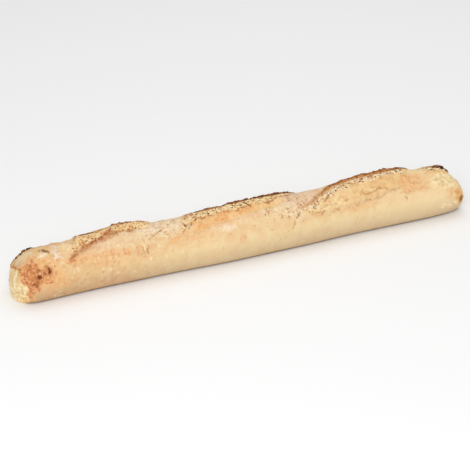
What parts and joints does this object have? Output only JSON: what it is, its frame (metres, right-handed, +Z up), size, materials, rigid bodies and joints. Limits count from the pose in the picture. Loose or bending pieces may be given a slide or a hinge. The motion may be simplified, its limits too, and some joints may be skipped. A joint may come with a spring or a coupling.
{
  "type": "sourdough baguette",
  "caption": "Long slim sourdough baguette with blunt heels, a flat base and slanting cuts along the crown that opened into torn bands and raised ears.",
  "frame": {"origin": "on the flat base, under the middle of the loaf", "axes": "+X along the loaf to the right heel, -Y towards the near side with the lower lips of the cuts, +Z up through the crown"},
  "size_m": [0.54, 0.0633, 0.056],
  "materials": {
    "crust": "matt pale golden bread crust, floury between the cuts, browner in the torn cuts and dark along their ears"
  },
  "bodies": {
    "root": {"loaf": "crust"}
  },
  "joints": []
}
